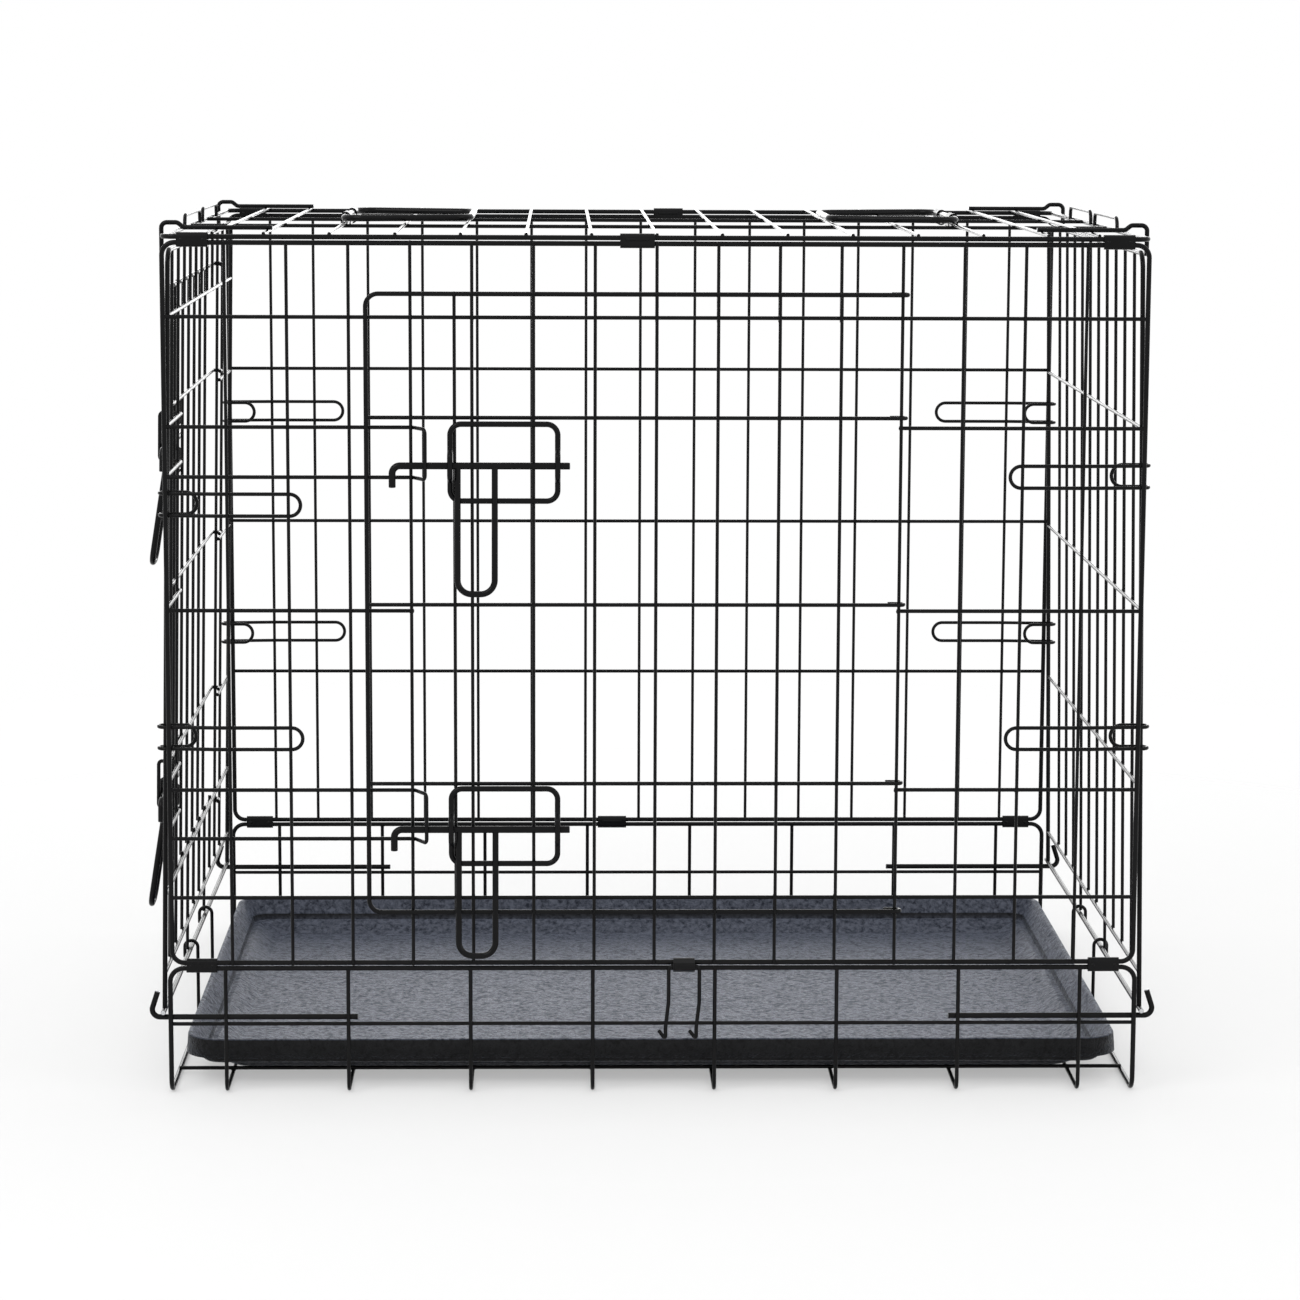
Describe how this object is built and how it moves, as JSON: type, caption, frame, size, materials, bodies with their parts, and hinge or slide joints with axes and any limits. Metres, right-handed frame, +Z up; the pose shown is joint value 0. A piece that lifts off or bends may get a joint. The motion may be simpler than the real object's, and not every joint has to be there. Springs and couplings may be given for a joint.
{
  "type": "folding wire pet crate",
  "caption": "Folding wire pet crate with latched doors at the front and the left end, a lift-out plastic tray, hooked fold-in end panels and carrying bails on top.",
  "frame": {"origin": "on the floor, under the middle of the cage", "axes": "+X along the crate's length to the right, +Y from the front door to the rear, +Z up"},
  "size_m": [0.6708, 0.5071, 0.567],
  "materials": {
    "wire": "black semi-gloss powder coat",
    "latch": "black semi-gloss powder coat on heavier rod",
    "clip": "black coated sheet",
    "tray": "black plastic with a fine grain"
  },
  "bodies": {
    "cage": {"base_panel": "wire", "front_panel": "wire", "rear_panel": "wire", "top_panel": "wire", "front_corner_loops": "wire", "rear_corner_loops": "wire", "front_rail_hooks": "wire", "rear_rail_hooks": "wire", "left_rail_links": "wire", "right_rail_links": "wire", "left_top_hooks": "wire", "right_top_hooks": "wire", "left_lift_loops": "wire", "right_lift_loops": "wire", "front_top_clips": "clip", "rear_top_clips": "clip", "front_fold_clips": "clip", "rear_fold_clips": "clip", "lock_clip": "clip", "left_carry_clips": "clip", "right_carry_clips": "clip"},
    "left_end": {"left_end_panel": "wire"},
    "right_end": {"right_end_panel": "wire"},
    "front_door": {"front_door": "wire", "front_upper_guide": "latch", "front_lower_guide": "latch"},
    "left_door": {"left_door": "wire", "left_upper_guide": "latch", "left_lower_guide": "latch"},
    "front_upper_shank": {"front_upper_latch_shank": "latch"},
    "front_upper_bail": {"front_upper_latch_bail": "latch"},
    "front_lower_shank": {"front_lower_latch_shank": "latch"},
    "front_lower_bail": {"front_lower_latch_bail": "latch"},
    "left_upper_shank": {"left_upper_latch_shank": "latch"},
    "left_upper_bail": {"left_upper_latch_bail": "latch"},
    "left_lower_shank": {"left_lower_latch_shank": "latch"},
    "left_lower_bail": {"left_lower_latch_bail": "latch"},
    "left_carry": {"left_carry_handle": "wire"},
    "right_carry": {"right_carry_handle": "wire"},
    "lock": {"lock_hook": "wire"},
    "tray": {"tray": "tray"}
  },
  "joints": [
    {"name": "left_end_fold", "type": "hinge", "parent": "cage", "child": "left_end", "pos_m": [-0.319, 0, 0.0547], "axis": [0, -1, 0], "range_deg": [-85.5, 0]},
    {"name": "right_end_fold", "type": "hinge", "parent": "cage", "child": "right_end", "pos_m": [0.319, 0, 0.0547], "axis": [0, 1, 0], "range_deg": [-89, 0]},
    {"name": "front_door_swing", "type": "hinge", "parent": "cage", "child": "front_door", "pos_m": [0.1564, -0.242, 0.32], "axis": [0, 0, 1], "range_deg": [0, 165]},
    {"name": "left_door_swing", "type": "hinge", "parent": "left_end", "child": "left_door", "pos_m": [-0.31614, 0.1435, 0.31999], "axis": [-0.0183, 0, -0.9998], "range_deg": [0, 165]},
    {"name": "front_upper_slide", "type": "slide", "parent": "front_door", "child": "front_upper_shank", "axis": [1, 0, 0], "range_m": [-0.0007, 0.009]},
    {"name": "front_upper_turn", "type": "hinge", "parent": "front_upper_shank", "child": "front_upper_bail", "pos_m": [-0.1146, -0.2507, 0.4128], "axis": [-1, 0, 0], "range_deg": [0, 164]},
    {"name": "front_lower_slide", "type": "slide", "parent": "front_door", "child": "front_lower_shank", "axis": [1, 0, 0], "range_m": [-0.0007, 0.009]},
    {"name": "front_lower_turn", "type": "hinge", "parent": "front_lower_shank", "child": "front_lower_bail", "pos_m": [-0.1146, -0.2507, 0.1775], "axis": [-1, 0, 0], "range_deg": [0, 164]},
    {"name": "left_upper_slide", "type": "slide", "parent": "left_door", "child": "left_upper_shank", "axis": [0, 1, 0], "range_m": [-0.0007, 0.009]},
    {"name": "left_upper_turn", "type": "hinge", "parent": "left_upper_shank", "child": "left_upper_bail", "pos_m": [-0.32314, -0.1017, 0.41294], "axis": [0, 1, 0], "range_deg": [0, 164]},
    {"name": "left_lower_slide", "type": "slide", "parent": "left_door", "child": "left_lower_shank", "axis": [0, 1, 0], "range_m": [-0.0007, 0.009]},
    {"name": "left_lower_turn", "type": "hinge", "parent": "left_lower_shank", "child": "left_lower_bail", "pos_m": [-0.32745, -0.1017, 0.17768], "axis": [0, 1, 0], "range_deg": [0, 164]},
    {"name": "left_carry_lift", "type": "hinge", "parent": "cage", "child": "left_carry", "pos_m": [-0.20725, 0, 0.56275], "axis": [0, -1, 0], "range_deg": [0, 100]},
    {"name": "right_carry_lift", "type": "hinge", "parent": "cage", "child": "right_carry", "pos_m": [0.20725, 0, 0.56275], "axis": [0, 1, 0], "range_deg": [0, 100]},
    {"name": "lock_hook_swing", "type": "hinge", "parent": "cage", "child": "lock", "pos_m": [0.01955, -0.24405, 0.08545], "axis": [-1, 0, 0], "range_deg": [0, 150]},
    {"name": "tray_lift", "type": "slide", "parent": "cage", "child": "tray", "axis": [0, 0, 1], "range_m": [0, 0.15]}
  ]
}
